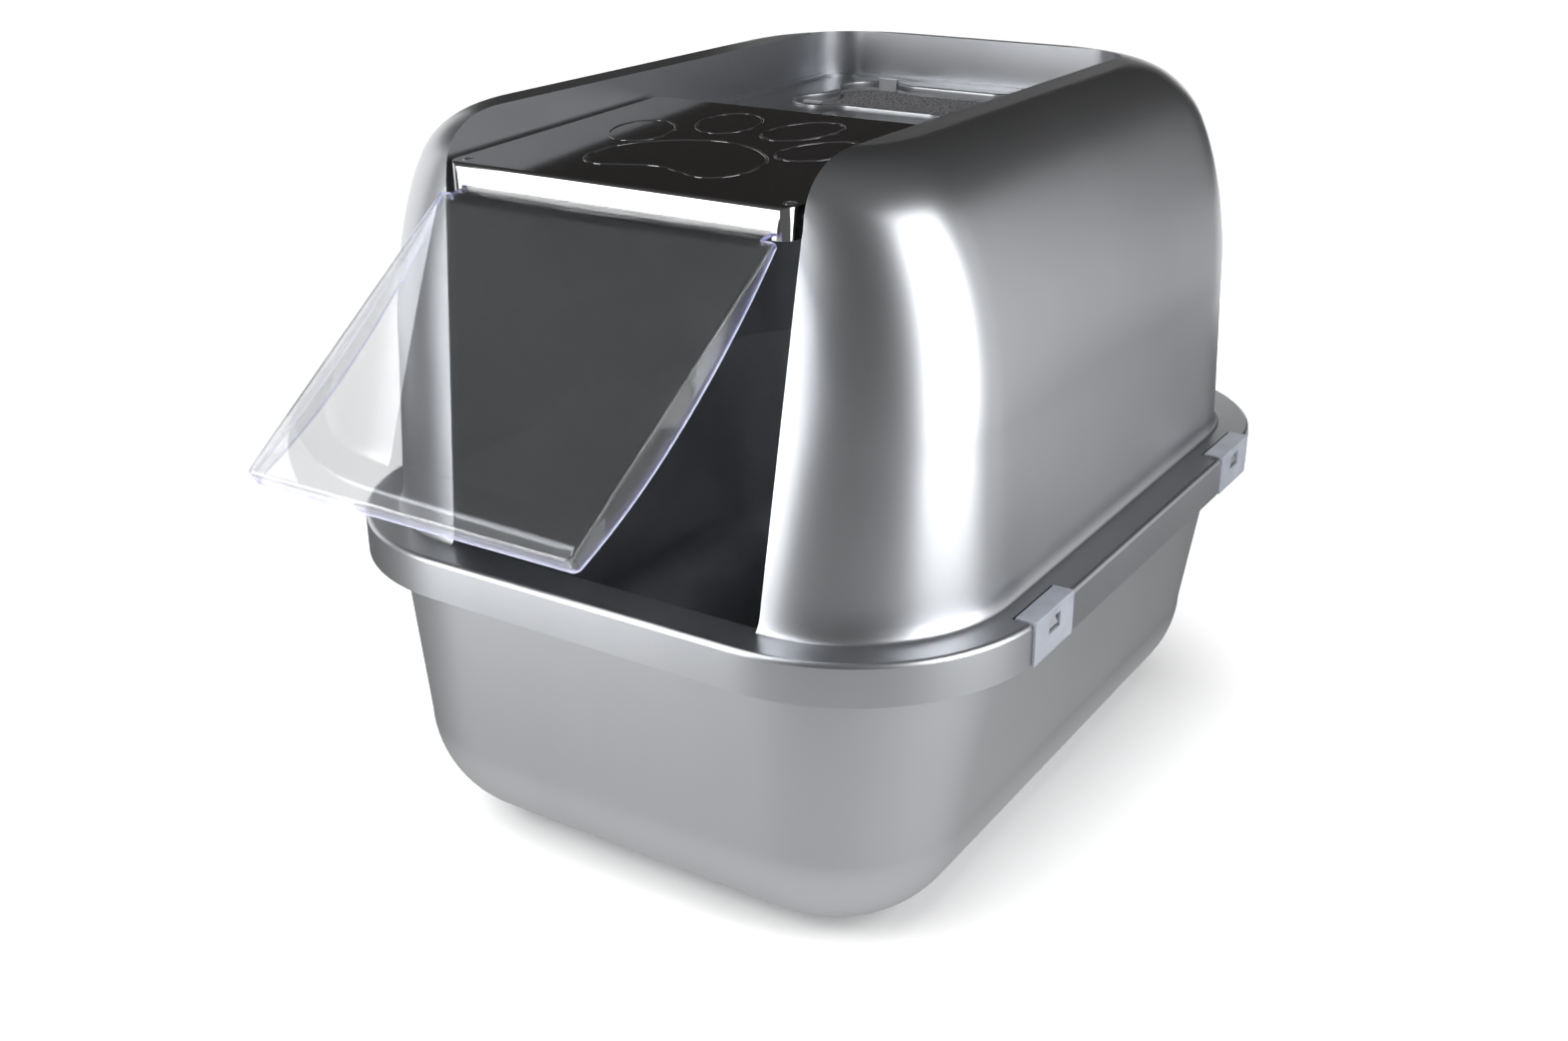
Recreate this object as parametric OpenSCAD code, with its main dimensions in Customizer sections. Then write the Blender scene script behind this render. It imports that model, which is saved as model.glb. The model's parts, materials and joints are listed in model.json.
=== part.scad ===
// Hooded litter box: a deep tapered tub, a hood whose rim seats over it and is held by four
// side clips, a lid over the front half of the hood's roof recess, a clear swinging door
// that hangs from the lid, and a carbon filter pad in a slotted tray behind it.
// The origin is under the middle of the tub, on the floor. The doorway faces -Y.

/* [Overall] */
// Width across the hood's rim
rim_w = 462; // [400:1:560]
// Length across the hood's rim
rim_l = 560; // [480:1:680]
// Plan radius of the rim's corners
rim_r = 124; // [100:1:150]
// Height of the rim's top face above the floor
rim_z = 215; // [170:1:280]
// Height of the hood above the rim's top face
hood_h = 247; // [205:1:310]

/* [Tub] */
// Thickness of the tub's wall
tub_wall = 2.8; // [2:0.1:5]
// Distance from the rim's outer face to the top of the tub's wall
tub_inset = 18.5; // [14:0.5:22]
// Taper of the tub's side walls
tub_side_taper = 8.9; // [2:0.1:11]
// Taper of the tub's front wall
tub_front_taper = 3; // [1:0.1:9]
// Taper of the tub's rear wall
tub_rear_taper = 6; // [1:0.1:9]
// Radius between the tub's walls and its floor
tub_fillet = 75; // [30:1:80]
// Plan radius of the tub's corners where that radius starts
tub_base_r = 84.6; // [82:0.1:100]
// Height of the flat foot under the tub
foot_h = 1.5; // [1:0.1:4]
// Depth of the turned-down edge of the tub's rim
tub_lip_h = 12; // [6:1:20]

/* [Rim of the hood] */
// Thickness of the rim's flange and skirt
band_t = 3; // [2.6:0.1:4]
// Height of the rim's skirt
skirt_h = 25.7; // [20:0.1:36]
// Width of the flange outside the hood's foot
flange_w = 20.6; // [18:0.1:26]
// Radius along the rim's outer top edge
rim_edge_r = 3; // [1:0.1:3]
// Gap between the tub's rim and the inside of the skirt
rim_gap = 1; // [0.5:0.1:2]

/* [Hood] */
// Thickness of the hood's wall
hood_wall = 2.5; // [2:0.1:4]
// Width and height of the hollow curve at the hood's foot
foot_curve = [3.5, 8];
// Lean of the hood's side walls
side_lean = 2.5; // [0:0.1:5]
// Lean of the hood's front wall
front_lean = 7.8; // [3:0.1:10]
// Lean of the hood's rear wall
rear_lean = 4.2; // [0:0.1:6]
// Width and height of the curve from each side wall into the roof
side_curve = [68, 150];
// Width and height of the curve from the front wall into the roof
front_curve = [30, 30];
// Width and height of the curve from the rear wall into the roof
rear_curve = [41, 40];
// Plan radius of the hood's front corners at the roof
front_top_r = 60; // [40:1:75]
// Plan radius of the hood's rear corners at the roof
rear_top_r = 80; // [40:1:90]

/* [Doorway and roof recess] */
// Width of the doorway at the sill
doorway_w = 217; // [170:1:240]
// Width of the recess in the roof, and of the doorway where it meets it
recess_w = 238; // [190:1:250]
// Depth of the recess floor below the roof
recess_d = 32.3; // [26:0.1:40]
// Distance from the recess's rear wall to the rim's rear edge
recess_back = 84.5; // [80:0.5:120]
// Plan radius of the recess's rear corners
recess_r = 28; // [10:1:40]
// Width of the ledge round the recess, which the lid rests on
ledge_w = 7.5; // [5:0.5:12]
// Height of that ledge above the recess floor
ledge_h = 2.1; // [1:0.1:4]

/* [Lid] */
// Gap between the lid and each side wall of the recess
lid_gap = 4.7; // [1:0.1:8]
// Distance from the rim's front edge to the lid's front face
lid_front = 49.3; // [44:0.1:60]
// Distance from the lid's front face to its hinge axis
lid_reach = 200; // [140:0.1:215]
// Depth of the lid's front top edge below the roof
lid_drop = 22.9; // [16:0.1:26]
// Height that the lid gains from its front edge to its hinge
lid_rise = 6.4; // [0:0.1:10]
// Thickness of the lid's plate
lid_plate = 2.4; // [1.6:0.1:4]
// Thickness of the lid's front wall
lip_t = 2.7; // [2:0.1:4]
// Height of the lid's front wall
lip_h = 12.3; // [9:0.1:18]
// Thickness of the lid's side walls
lid_side_t = 2.2; // [1.6:0.1:4]
// Height of the lid's side walls
lid_side_h = 7; // [5:0.1:9]
// Plan radius of the lid's front corners
lid_corner_r = 9; // [5:0.5:14]
// Depth of the lid's two front legs below its top face
leg_h = 17.1; // [14:0.1:24]
// Width of each leg
leg_w = 11; // [9:0.5:16]
// Radius of the lid's hinge barrel
lid_barrel_r = 4.3; // [3.5:0.1:6]
// Radius of the lid's hinge pins
lid_pin_r = 3; // [2:0.1:3.2]

/* [Door] */
// Gap between the door's panel and the doorway, each side, at its top and at the sill
door_side_gap = [8.5, 3.5];
// Gap between the hanging door and the sill
sill_gap = 0.6; // [0.5:0.1:8]
// Thickness of the clear sheet
door_t = 1.8; // [1.2:0.1:3]
// Depth of the door's side wings at the top, at their widest, and at the bottom
wing_depth = [3, 17, 9];
// How far the panel stands in front of the door's hinge axis
door_offset = 6.7; // [5:0.1:9]
// How far the panel's top edge hangs below the door's hinge axis
door_hang = 12.5; // [12:0.1:16]
// Distance from the lid's front face back to the door's hinge axis
door_axis_back = 4.7; // [4.5:0.1:6]
// Height of the door's hinge axis above the bottom of the legs
door_axis_up = 3.1; // [2.6:0.1:4]
// Radius of the door's hinge bar
door_bar_r = 2; // [1.6:0.1:2.4]
// Radius of the door's hinge pins
door_pin_r = 1.5; // [1.2:0.1:1.8]
// How far those pins reach past the start of the lid's rounded corner
pin_past_corner = 1.8; // [1:0.1:2]
// Angle at which the door is set, out from hanging straight down
door_set = 55.5; // [0:0.5:66]

/* [Pivot blocks and screws] */
// Depth of each pivot block, front to back
block_l = 12.4; // [11:0.1:13]
// Radius of the screws' heads
screw_head_r = 3.6; // [3:0.1:4]
// Radius of the screws' shanks
screw_r = 1.5; // [1.2:0.1:1.8]
// Height that the screws' heads stand above the lid
screw_proud = 0.7; // [0.2:0.1:1]

/* [Clips] */
// Width of each clip
clip_w = 50; // [36:1:60]
// Distance of the clips' middles from the middle of the box, front to back
clip_y = 145.5; // [100:0.5:150]
// Thickness of the clips
clip_t = 2; // [1.6:0.1:3]
// Distance from the rim's outer face to the clips' hinge axis
clip_axis_in = 10.5; // [9:0.1:13]
// Depth of the pocket that each clip lies in
clip_pocket = 1.4; // [1:0.1:1.6]
// Width and height of the window in each clip
clip_window = [14, 9];
// Distance from the rim's top face to the top of that window
window_drop = 4.5; // [3:0.1:6]
// Radius of the clips' hinge barrels
clip_barrel_r = 1.4; // [1.2:0.1:1.5]
// Radius of the clips' hinge pins
clip_pin_r = 0.9; // [0.7:0.05:1]

/* [Filter] */
// Half width and half length of the filter opening, across its lobes
filter_half = [79, 53];
// Radius of the opening's four lobes
lobe_r = 24; // [16:1:26]
// How far the sides of the opening are drawn in between the lobes
waist = 9; // [4:1:10]
// Length over which each side runs from a lobe into the waist
lobe_ramp = 24; // [16:1:28]
// Distance from the recess's rear wall to the middle of the opening
filter_back = 78.5; // [70:0.5:90]
// Width and height of the raised edge round the opening
filter_edge = [3.2, 2.4];
// Thickness of the filter pad
pad_t = 9; // [6:0.5:14]
// Gap between the pad and its tray
pad_gap = 1; // [0.5:0.1:2]
// Thickness of the tray's wall
tray_t = 1.8; // [1.4:0.1:3]
// Width of the tray's snap tabs
tab_w = 14; // [10:1:20]
// Thickness of those tabs
tab_t = 1.5; // [1:0.1:2]
// How far they hook over the opening's raised edge
tab_hook = 2.4; // [1.5:0.1:3]
// Height of their feet on the tray's wall
tab_foot = 4; // [3:0.5:6]

/* [Hidden] */
// Radial clearance of every hinge pin in its bore
pin_gap = 0.05;
// Gap left between faces that lie close to each other
face_gap = 0.3;
// Thickness of the thin slices that the smooth skins are stretched over
slice = 0.01;
// Length by which cutters run past what they cut
over = 1;
// How far the tub's foot stands in from the floor's curve
foot_margin = 12;
// Thickness of the tub's turned-down edge
tub_lip_t = 2;
// Wall of the bosses round the lid's hinge pins, and how far they reach back
boss_wall = 3;
boss_l = 6;
// Room behind the pivot blocks in the opening under the lid
block_room = 4;
// How far back from the rim's front edge the doorway cuts through the hood's front wall
doorway_reach = 109.3;
// Gap between a pivot block and the lid's inside faces
block_gap = 0.1;
// Gap between the end of the door's hinge bar and the lid's leg
bar_gap = 0.7;
// Distance from the lid's front face to the screws, and in from the middle of the leg
screw_back = 10.7;
screw_in = 1.2;
// Depth of a screw head's seat, and the gap round the screw in its hole
screw_seat = 1;
screw_gap = 0.2;
// How far the tray's wall stands above the filter pad
tray_over = 1.2;
// Size of the rounding on a clip's outer top corner
clip_round = 1.2;
// How far a clip's tooth stays clear of its window, and sinks into the skirt
tooth_gap = [2, 1.5, 2.5];
tooth_sink = 0.4;
// Width of the slots in the tray's floor, their spacing, and the floor left round them
tray_slot = 5;
slot_step = 10;
tray_border = 16;

front_y = -rim_l / 2;
rear_y = rim_l / 2;
tub_top = rim_z - band_t;
// The hood's foot, measured in from the rim's outer face
foot_in = flange_w + foot_curve[0];
recess_z = rim_z + hood_h - recess_d;
ledge_z = recess_z + ledge_h;
roof_z = rim_z + hood_h;
recess_half = recess_w / 2;
recess_rear = rear_y - recess_back;

lid_half = recess_half - lid_gap;
lid_y = front_y + lid_front;
lid_z = roof_z - lid_drop;
lid_axis_y = lid_y + lid_reach;
lid_axis_z = lid_z + lid_rise - lid_barrel_r;
// The lid's hinge pins end inside the bosses behind the recess's walls
lid_pin_l = lid_gap + boss_l - over;

leg_z = lid_z - leg_h;
leg_in = lid_half - leg_w;
door_axis_y = lid_y + door_axis_back;
door_axis_z = leg_z + door_axis_up;
door_bar_half = leg_in - bar_gap;
door_top_half = recess_half - door_side_gap[0];
door_bottom_half = doorway_w / 2 - door_side_gap[1];
door_h = door_axis_z - door_hang - rim_z - sill_gap;
// The door's pins stop where the lid's rounded corner closes in on them
door_pin_l = leg_w - lid_corner_r + pin_past_corner;
screw_y = lid_y + screw_back;
screw_x = leg_in + leg_w / 2 - screw_in;
block_y = lid_y + lip_t + block_gap;

clip_axis_x = rim_w / 2 - clip_axis_in;
clip_axis_z = rim_z - band_t / 2;
clip_pin_l = 3;
clip_face = rim_w / 2 - clip_pocket + face_gap;
clip_top = rim_z - clip_pocket + face_gap;
clip_neck = clip_top + clip_t - clip_axis_z;
// The slit is wider on its inner side, where the clip's neck turns to as the clip opens
slit_out = clip_barrel_r + face_gap;
slit_in = sqrt(pow(clip_barrel_r, 2) + pow(clip_neck, 2)) + face_gap;

filter_y = recess_rear - filter_back;
tray_top = recess_z - hood_wall;
tray_h = pad_t + tray_t + tray_over;

silver = [0.66, 0.67, 0.69];
pearl = [0.62, 0.63, 0.64];

// ---- shared shapes -------------------------------------------------------------------

// Sweeps a profile round a rounded rectangle. The profile's x is 0 at the outer face and
// negative inwards, and its y is the height.
module ring(w, l, r) {
    for (k = [0:3]) rotate(90 * k) {
        a = k % 2 == 0 ? w : l;
        b = k % 2 == 0 ? l : w;
        translate([a / 2, b / 2 - r, 0])
            rotate([90, 0, 0])
                linear_extrude(b - 2 * r) children();
        translate([a / 2 - r, b / 2 - r, 0])
            rotate_extrude(angle = 90, $fn = 96)
                translate([r, 0]) children();
    }
}

// A flat rounded rectangle
module rounded(w, l, r) {
    square([w - 2 * r, l], center = true);
    square([w, l - 2 * r], center = true);
    for (x = [-1, 1], y = [-1, 1])
        translate([x * (w / 2 - r), y * (l / 2 - r)]) circle(r, $fn = 64);
}

// A smooth closed skin over slices. Each level is
// [height, half width, front y, rear y, front corner radius, rear corner radius].
module skin(levels) {
    hull()
        for (v = levels, x = [-1, 1]) {
            translate([x * (v[1] - v[4]), v[2] + v[4], v[0]])
                cylinder(r = v[4], h = slice, $fn = 48);
            translate([x * (v[1] - v[5]), v[3] - v[5], v[0]])
                cylinder(r = v[5], h = slice, $fn = 48);
        }
}

// A bar along X between two places
module x_bar(x0, x1, y, z, r, fn = 48) {
    translate([x0, y, z]) rotate([0, 90, 0]) cylinder(r = r, h = x1 - x0, $fn = fn);
}

// A bar along Y between two places
module y_bar(x, y0, y1, z, r, fn = 32) {
    translate([x, y0, z]) rotate([-90, 0, 0]) cylinder(r = r, h = y1 - y0, $fn = fn);
}

// Extrudes a profile drawn as (y, z) along X, centred on x = 0
module along_x(width) {
    translate([-width / 2, 0, 0])
        rotate([90, 0, 90]) linear_extrude(width) children();
}

// Extrudes a profile drawn as (x, z) along Y, centred on y
module along_y(width, y = 0) {
    translate([0, y + width / 2, 0])
        rotate([90, 0, 0]) linear_extrude(width) children();
}

// Both sides of the box, the left one mirrored
module both_sides() {
    children();
    mirror([1, 0, 0]) children();
}

// ---- tub -----------------------------------------------------------------------------

// One slice of the tub's wall. The turn goes from 0 where the floor's curve starts to 90
// on the floor, rise is the height above that start, and inset moves the face inwards.
function tub_level(rise, turn, inset) =
    let (
        r = tub_fillet - inset,
        z = foot_h + tub_fillet + rise - r * sin(turn),
        fall = tub_top - foot_h - tub_fillet - rise,
        in = tub_inset + inset + r * (1 - cos(turn)),
        grown = rise / (tub_top - foot_h - tub_fillet),
        corner = tub_base_r + (rim_r - tub_inset - tub_base_r) * grown
            - inset - r * (1 - cos(turn))
    )
    [
        z,
        rim_w / 2 - in - fall * tan(tub_side_taper),
        front_y + in + fall * tan(tub_front_taper),
        rear_y - in - fall * tan(tub_rear_taper),
        corner, corner
    ];

function tub_levels(inset) = concat(
    [tub_level(tub_top - foot_h - tub_fillet - slice, 0, inset)],
    [for (turn = [0:11.25:90]) tub_level(0, turn, inset)]
);

module tub() {
    base = tub_level(0, 75, 0);
    color(pearl) {
        difference() {
            union() {
                skin(tub_levels(0));
                translate([0, (base[2] + base[3]) / 2, 0])
                    linear_extrude(foot_h + tub_wall / 2)
                        rounded(2 * (base[1] - foot_margin),
                            base[3] - base[2] - 2 * foot_margin, base[4]);
                ring(rim_w, rim_l, rim_r) tub_rim_profile();
            }
            skin(tub_levels(tub_wall));
            translate([0, 0, tub_top - tub_wall])
                linear_extrude(tub_wall + over)
                    rounded(rim_w - 2 * (tub_inset + tub_wall),
                        rim_l - 2 * (tub_inset + tub_wall),
                        rim_r - tub_inset - tub_wall);
        }
    }
}

// The flat rim of the tub with its turned-down edge
module tub_rim_profile() {
    outer = band_t + rim_gap;
    translate([-tub_inset - tub_wall, tub_top - tub_wall])
        square([tub_inset + tub_wall - outer, tub_wall]);
    translate([-outer - tub_lip_t, tub_top - tub_lip_h])
        square([tub_lip_t, tub_lip_h]);
}

// ---- hood ----------------------------------------------------------------------------

// How far a wall has come in at a height: a straight lean, then an elliptical curve
function wall_in(z, top, lean, curve) =
    let (start = top - curve[1], s = max(0, (z - start) / curve[1]))
    tan(lean) * min(z, start) + curve[0] * (1 - sqrt(max(0, 1 - s * s)));

function hood_level(z, top, inset) =
    let (
        up = z / top,
        foot_r = rim_r - foot_in,
        shrink = [inset, inset],
        in = foot_in + inset
    )
    [
        rim_z + z,
        rim_w / 2 - in - wall_in(z, top, side_lean, side_curve - shrink),
        front_y + in + wall_in(z, top, front_lean, front_curve - shrink),
        rear_y - in - wall_in(z, top, rear_lean, rear_curve - shrink),
        foot_r + (front_top_r - foot_r) * up - inset,
        foot_r + (rear_top_r - foot_r) * up - inset
    ];

// Slices are set where the side curve turns by equal steps, with more near the roof
function hood_levels(inset) =
    let (top = hood_h - inset, start = top - side_curve[1] + inset)
    [for (turn = [-5, 0, 12, 24, 35, 45, 54, 61, 67, 72, 77, 82, 86, 90])
        hood_level(turn < 0 ? 0 : start + (top - start) * sin(turn) - slice * (turn / 90),
            top, inset)];

module hood_shell() {
    difference() {
        skin(hood_levels(0));
        skin(hood_levels(hood_wall));
        recess_space(recess_half, recess_rear, recess_z);
    }
}

// The space inside the recess's walls, from a height up past the roof
module recess_space(half, rear, z) {
    translate([0, 0, z])
        linear_extrude(roof_z - z + over) {
            translate([-half, front_y]) square([2 * half, rear - recess_r - front_y]);
            translate([0, rear - 2 * recess_r])
                rounded(2 * half, 4 * recess_r, recess_r);
        }
}

// Walls, floor and ledge of the recess
module recess_tray() {
    intersection() {
        skin(hood_levels(0));
        difference() {
            recess_space(recess_half + hood_wall, recess_rear + hood_wall, tray_top);
            recess_space(recess_half, recess_rear, ledge_z);
            difference() {
                recess_space(recess_half - ledge_w, recess_rear - ledge_w, recess_z);
                hatch_space();
            }
            hatch_space();
        }
    }
}

// The opening under the lid, which runs on forwards through the doorway
module hatch_space() {
    translate([-recess_half + ledge_w, front_y, tray_top - over])
        cube([2 * (recess_half - ledge_w), lid_axis_y - over - front_y, hood_h]);
    translate([-recess_half, front_y, tray_top - over])
        cube([2 * recess_half, block_y + block_l + block_room - front_y, hood_h]);
}

module doorway() {
    wide = recess_z - rim_z;
    along_y(doorway_reach, front_y + doorway_reach / 2)
        translate([0, rim_z])
            polygon([
                [-doorway_w / 2, 0], [doorway_w / 2, 0],
                [recess_half, wide], [recess_half, wide + over],
                [-recess_half, wide + over], [-recess_half, wide]
            ]);
}

// Flange and skirt, with the outer top edge rounded
module rim_profile() {
    r = rim_edge_r;
    polygon(concat(
        [[-foot_in - hood_wall, rim_z - band_t], [-foot_in - hood_wall, rim_z]],
        [for (t = [90:-15:0]) [-r + r * cos(t), rim_z - r + r * sin(t)]],
        [[0, rim_z - skirt_h], [-band_t, rim_z - skirt_h], [-band_t, rim_z - band_t]]
    ));
}

// Hollow curve where the hood's wall meets the flange
module foot_profile() {
    polygon(concat(
        [[-foot_in - hood_wall / 2, rim_z]],
        [for (t = [0:15:90])
            [-flange_w - foot_curve[0] * sin(t), rim_z + foot_curve[1] * (1 - cos(t))]],
        [[-foot_in - hood_wall / 2, rim_z + foot_curve[1]]]
    ));
}

// Bosses behind the recess's side walls, which carry the lid's hinge pins
module hinge_bosses() {
    both_sides()
        x_bar(recess_half, recess_half + boss_l, lid_axis_y, lid_axis_z,
            lid_pin_r + boss_wall);
}

// How far the filter opening's edge is drawn in at a distance from the nearest lobe
function drawn_in(from_lobe) = waist * (1 - cos(180 * min(1, from_lobe / lobe_ramp))) / 2;

// Outline of the filter opening, grown outwards by a margin: one quarter, then its mirror
// images in turn
module filter_outline(grow) {
    x = filter_half[0] + grow;
    y = filter_half[1] + grow;
    r = lobe_r + grow;
    a = x - r;
    b = y - r;
    q = concat(
        [for (k = [0:7]) [x - drawn_in(b * (1 - k / 8)), b * k / 8]],
        [for (t = [0:11.25:90]) [a + r * cos(t), b + r * sin(t)]],
        [for (k = [15:-1:0]) [a * k / 16, y - drawn_in(a * (1 - k / 16))]]
    );
    last = len(q) - 1;
    polygon(concat(
        q,
        [for (k = [last - 1:-1:0]) [-q[k][0], q[k][1]]],
        [for (k = [1:last]) [-q[k][0], -q[k][1]]],
        [for (k = [last - 1:-1:1]) [q[k][0], -q[k][1]]]
    ));
}

// One clip's pocket in the rim, and the slit that its hinge lies in
module clip_pocket_cut() {
    wide = clip_w + 2 * face_gap;
    translate([clip_axis_x + slit_out - over, -wide / 2, rim_z - clip_pocket])
        cube([clip_axis_in + over, wide, clip_pocket + over]);
    translate([rim_w / 2 - clip_pocket, -wide / 2, rim_z - skirt_h - over])
        cube([clip_pocket + over, wide, skirt_h + 2 * over]);
    translate([clip_axis_x - slit_in, -wide / 2, rim_z - band_t - over])
        cube([slit_in + slit_out, wide, band_t + 2 * over]);
    y_bar(clip_axis_x, -wide / 2 - clip_pin_l, wide / 2 + clip_pin_l, clip_axis_z,
        clip_pin_r + pin_gap);
}

// Wedge that a clip's window snaps over
module clip_tooth() {
    face = rim_w / 2 - clip_pocket;
    top = rim_z - window_drop - tooth_gap[1];
    bottom = rim_z - window_drop - clip_window[1] + tooth_gap[2];
    along_y(clip_window[0] - 2 * tooth_gap[0])
        polygon([
            [face - tooth_sink, top], [face, top],
            [face + clip_pocket + face_gap, bottom], [face - tooth_sink, bottom]
        ]);
}

module at_clips() {
    for (y = [-clip_y, clip_y]) translate([0, y, 0]) both_sides() children();
}

module hood() {
    color(silver) {
        difference() {
            union() {
                difference() {
                    union() {
                        hood_shell();
                        ring(rim_w, rim_l, rim_r) foot_profile();
                    }
                    doorway();
                }
                ring(rim_w, rim_l, rim_r) rim_profile();
                recess_tray();
                hinge_bosses();
                translate([0, filter_y, recess_z])
                    linear_extrude(filter_edge[1]) filter_outline(filter_edge[0]);
            }
            translate([0, filter_y, tray_top - over])
                linear_extrude(hood_h) filter_outline(0);
            both_sides()
                x_bar(recess_half - over, recess_half + boss_l + over, lid_axis_y,
                    lid_axis_z, lid_pin_r + pin_gap);
            at_clips() clip_pocket_cut();
        }
        at_clips() clip_tooth();
    }
}

// ---- clips ---------------------------------------------------------------------------

// One clip on the right-hand side, at y = 0
module clip() {
    outer = clip_face + clip_t;
    floor_z = rim_z - skirt_h;
    color([0.68, 0.70, 0.73]) {
        difference() {
            union() {
                along_y(clip_w)
                    polygon([
                        [clip_axis_x, clip_top], [clip_face, clip_top], [clip_face, floor_z],
                        [outer, floor_z], [outer, clip_top + clip_t - clip_round],
                        [outer - clip_round / 3, clip_top + clip_t - clip_round / 3],
                        [outer - clip_round, clip_top + clip_t],
                        [clip_axis_x, clip_top + clip_t]
                    ]);
                y_bar(clip_axis_x, -clip_w / 2, clip_w / 2, clip_axis_z, clip_barrel_r);
                translate([clip_axis_x - clip_barrel_r, -clip_w / 2, clip_axis_z])
                    cube([2 * clip_barrel_r, clip_w, clip_neck]);
                y_bar(clip_axis_x, -clip_w / 2 - clip_pin_l + face_gap,
                    clip_w / 2 + clip_pin_l - face_gap, clip_axis_z, clip_pin_r);
            }
            translate([clip_face - over, -clip_window[0] / 2,
                    rim_z - window_drop - clip_window[1]])
                cube([clip_t + 2 * over, clip_window[0], clip_window[1]]);
        }
    }
}

// ---- lid -----------------------------------------------------------------------------

// Height of the lid's top face at a distance behind its front face
function lid_top(back) = lid_z + lid_rise * back / lid_reach;

// Side view of the lid's outside, (y, z)
module lid_side_view() {
    r = lip_t + 0.3;
    polygon(concat(
        [[lid_y, lid_z - lip_h]],
        [for (t = [0:15:90]) [lid_y + r - r * cos(t), lid_z - r + r * sin(t)]],
        [
            [lid_axis_y, lid_top(lid_reach)],
            [lid_axis_y, lid_top(lid_reach) - lid_side_h],
            [lid_y + lip_t, lid_z - lid_side_h],
            [lid_y + lip_t, lid_z - lip_h]
        ]
    ));
}

// Plan of the lid with its rounded front corners
module lid_plan(inset) {
    half = lid_half - inset;
    r = lid_corner_r - inset;
    translate([-half, lid_y + lid_corner_r])
        square([2 * half, lid_reach - lid_corner_r]);
    translate([-half + r, lid_y + inset]) square([2 * (half - r), lid_corner_r]);
    for (x = [-1, 1])
        translate([x * (half - r), lid_y + lid_corner_r]) circle(r, $fn = 64);
}

// The outside corner of a leg, carried down from the lid's plan
module leg_shell() {
    translate([0, 0, leg_z])
        linear_extrude(leg_h - 3)
            intersection() {
                difference() {
                    lid_plan(0);
                    translate([0, lip_t - lid_side_t]) lid_plan(lid_side_t);
                }
                for (x = [-1, 1])
                    translate([x * (lid_half - leg_w / 2), lid_y + block_l / 2 + 1.4])
                        square([leg_w, block_l + 2.8], center = true);
            }
}

module lid() {
    color([0.30, 0.30, 0.32]) {
        difference() {
            union() {
                intersection() {
                    along_x(2 * lid_half) lid_side_view();
                    linear_extrude(roof_z) lid_plan(0);
                }
                leg_shell();
            }
            intersection() {
                along_x(2 * (lid_half - lid_side_t))
                    polygon([
                        [lid_y + lip_t, lid_z - lip_h - over],
                        [lid_y + lip_t, lid_top(lip_t) - lid_plate],
                        [lid_axis_y - lid_barrel_r, lid_top(lid_reach) - lid_plate],
                        [lid_axis_y - lid_barrel_r, lid_z - lip_h - over]
                    ]);
                linear_extrude(roof_z)
                    translate([0, lip_t - lid_side_t]) lid_plan(lid_side_t);
            }
            both_sides() screw_space();
        }
        difference() {
            x_bar(-lid_half, lid_half, lid_axis_y, lid_axis_z, lid_barrel_r);
            translate([-lid_half, lid_y, lid_z - leg_h])
                cube([2 * lid_half, lid_reach - lid_barrel_r, leg_h]);
        }
        x_bar(-lid_half - lid_pin_l, lid_half + lid_pin_l, lid_axis_y, lid_axis_z,
            lid_pin_r);
    }
}

// Hole and dished seat for one screw in the lid
module screw_space() {
    back = screw_y - lid_y;
    translate([screw_x, screw_y, lid_top(back) - lid_plate - over])
        cylinder(r = screw_r + screw_gap, h = lid_plate + 2 * over, $fn = 32);
    translate([screw_x, screw_y, lid_top(back) - screw_seat])
        cylinder(r = screw_head_r + screw_gap, h = screw_seat + over, $fn = 32);
}

// ---- pivot blocks and screws -----------------------------------------------------------

block_top = lid_top(block_y - lid_y) - lid_plate - block_gap;
screw_l = 9;

// The right-hand block behind the lid's leg, with the bore that the door's pin turns in
module pivot_block() {
    outer = lid_half - lid_side_t - face_gap;
    chamfer = 3;
    color([0.24, 0.24, 0.26])
        difference() {
            translate([(leg_in + outer) / 2, 0, 0])
                along_x(outer - leg_in)
                    polygon([
                        [block_y, leg_z], [block_y + block_l - chamfer, leg_z],
                        [block_y + block_l, leg_z + chamfer],
                        [block_y + block_l, block_top], [block_y, block_top]
                    ]);
            linear_extrude(roof_z)
                difference() {
                    translate([lid_half - lid_corner_r, lid_y])
                        square([lid_corner_r, lid_corner_r]);
                    translate([lid_half - lid_corner_r, lid_y + lid_corner_r])
                        circle(lid_corner_r - lip_t - face_gap, $fn = 64);
                    translate([0, lid_y + lid_corner_r])
                        square([lid_half, lid_corner_r]);
                    translate([0, lid_y + lip_t])
                        square([lid_half - lid_corner_r, lid_corner_r]);
                }
            x_bar(leg_in - over, leg_in + door_pin_l + 0.5, door_axis_y, door_axis_z,
                door_pin_r + pin_gap);
            translate([screw_x, screw_y, block_top - screw_l + 1])
                cylinder(r = screw_r, h = screw_l, $fn = 32);
        }
}

// Both screws: a shallow domed head with a cross recess, and a shank
module pivot_screws() {
    z = lid_top(screw_y - lid_y) - screw_seat;
    head_h = screw_seat + screw_proud;
    dome = 8;
    color("silver")
        both_sides() translate([screw_x, screw_y, z]) {
            difference() {
                intersection() {
                    cylinder(r = screw_head_r, h = head_h, $fn = 48);
                    translate([0, 0, head_h - dome]) sphere(dome, $fn = 64);
                }
                for (a = [45, 135]) rotate(a)
                    translate([-2, -0.4, head_h - 0.7]) cube([4, 0.8, 1]);
            }
            translate([0, 0, block_top - screw_l + 1.5 - z])
                cylinder(r = screw_r, h = z - block_top + screw_l - 1.5, $fn = 32);
        }
}

// ---- door ----------------------------------------------------------------------------

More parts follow.
